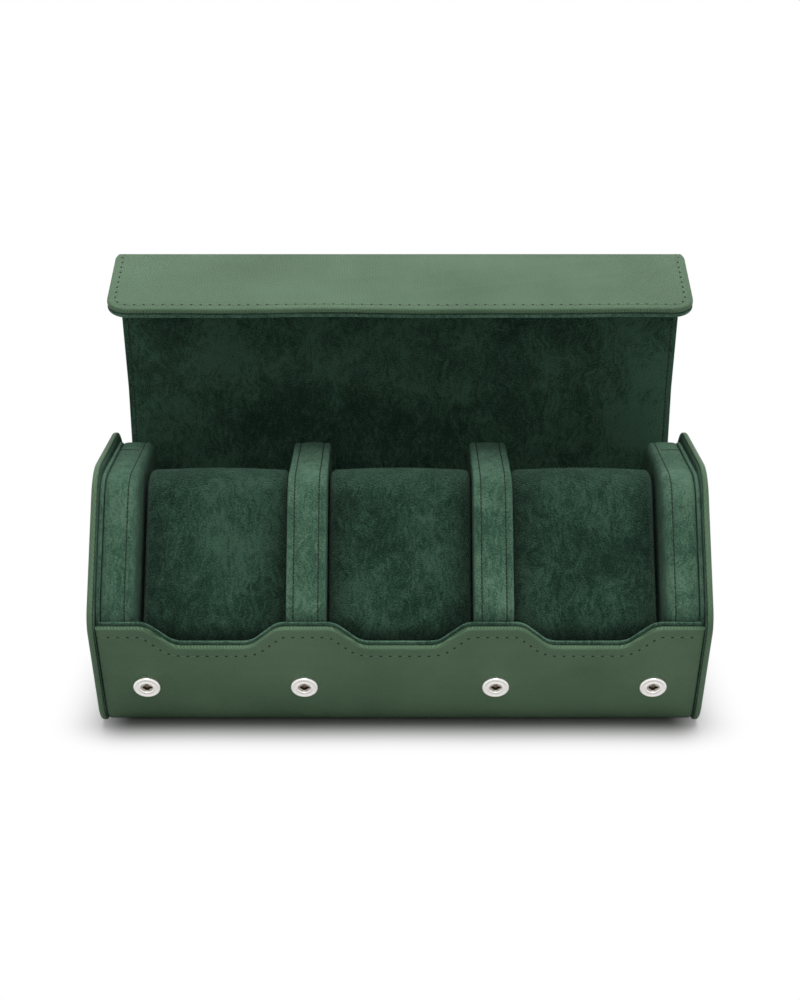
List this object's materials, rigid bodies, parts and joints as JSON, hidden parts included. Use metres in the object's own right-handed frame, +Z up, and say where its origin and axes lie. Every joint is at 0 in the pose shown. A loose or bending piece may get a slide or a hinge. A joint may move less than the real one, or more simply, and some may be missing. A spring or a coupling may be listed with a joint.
{
  "type": "watch travel case",
  "caption": "Wrapped leather watch travel case with padded slots, removable cushions, a folding wrap-over lid and a snap-fastened flap, standing open.",
  "frame": {"origin": "on the ground, under the middle of the six-sided section and midway between the end caps", "axes": "+X to the right along the case's length, +Y to the back where the open lid stands, +Z up"},
  "size_m": [0.22, 0.1472, 0.1646],
  "materials": {
    "shell_leather": "cross-grained green leather, semi-matt",
    "suede": "napped dark green suede",
    "stiffening_board": "grey-brown bookbinding board",
    "foam": "soft foam filling",
    "snap_metal": "polished nickel",
    "snap_spring": "spring wire"
  },
  "bodies": {
    "base": {"front_leather": "shell_leather", "front_board": "stiffening_board", "front_lining": "suede", "base_leather": "shell_leather", "base_board": "stiffening_board", "base_lining": "suede", "left_cap_leather": "shell_leather", "left_cap_board": "stiffening_board", "left_cap_lining": "suede", "right_cap_leather": "shell_leather", "right_cap_board": "stiffening_board", "right_cap_lining": "suede", "left_end_wall_cover": "suede", "left_end_wall_core": "foam", "right_end_wall_cover": "suede", "right_end_wall_core": "foam", "left_divider_cover": "suede", "left_divider_core": "foam", "right_divider_cover": "suede", "right_divider_core": "foam", "snap_sockets": "snap_metal", "socket_springs": "snap_spring", "socket_rivets": "snap_metal"},
    "rear_lower": {"rear_lower_leather": "shell_leather", "rear_lower_board": "stiffening_board", "rear_lower_lining": "suede"},
    "rear_upper": {"rear_upper_leather": "shell_leather", "rear_upper_board": "stiffening_board", "rear_upper_lining": "suede"},
    "top": {"top_leather": "shell_leather", "top_board": "stiffening_board", "top_lining": "suede"},
    "upper_front": {"upper_front_leather": "shell_leather", "upper_front_board": "stiffening_board", "upper_front_lining": "suede"},
    "flap": {"flap_leather": "shell_leather", "flap_board": "stiffening_board", "flap_lining": "suede", "snap_studs": "snap_metal", "stud_rivets": "snap_metal"},
    "cushion_left": {"cushion_left_cover": "suede", "cushion_left_core": "foam"},
    "cushion_middle": {"cushion_middle_cover": "suede", "cushion_middle_core": "foam"},
    "cushion_right": {"cushion_right_cover": "suede", "cushion_right_core": "foam"}
  },
  "joints": [
    {"name": "floor_fold", "type": "hinge", "parent": "base", "child": "rear_lower", "pos_m": [0, 0.03526, 0.00055], "axis": [1, 0, 0], "range_deg": [0, 63.58]},
    {"name": "waist_fold", "type": "hinge", "parent": "rear_lower", "child": "rear_upper", "pos_m": [0, 0.08855, 0.00055], "axis": [1, 0, 0], "range_deg": [-62.44, 0]},
    {"name": "rear_top_fold", "type": "hinge", "parent": "rear_upper", "child": "top", "pos_m": [0, 0.06053, 0.04889], "axis": [1, 0, 0], "range_deg": [0, 79.86]},
    {"name": "front_top_fold", "type": "hinge", "parent": "top", "child": "upper_front", "pos_m": [0, 0.05114, 0.10814], "axis": [1, 0, 0], "range_deg": [0, 45.03]},
    {"name": "flap_crease", "type": "hinge", "parent": "upper_front", "child": "flap", "pos_m": [0, 0.03123, 0.16406], "axis": [1, 0, 0], "range_deg": [-33.8, 0]},
    {"name": "cushion_left_slide", "type": "slide", "parent": "base", "child": "cushion_left", "axis": [0, -0.855, 0.5187], "range_m": [0, 0.006]},
    {"name": "cushion_middle_slide", "type": "slide", "parent": "base", "child": "cushion_middle", "axis": [0, -0.855, 0.5187], "range_m": [0, 0.006]},
    {"name": "cushion_right_slide", "type": "slide", "parent": "base", "child": "cushion_right", "axis": [0, -0.855, 0.5187], "range_m": [0, 0.006]}
  ],
  "couplings": [
    {"joint": "waist_fold", "follows": "floor_fold", "ratio": -0.98204},
    {"joint": "rear_top_fold", "follows": "floor_fold", "ratio": 1.2561},
    {"joint": "front_top_fold", "follows": "floor_fold", "ratio": 0.70824},
    {"joint": "flap_crease", "follows": "floor_fold", "ratio": -0.53163}
  ]
}
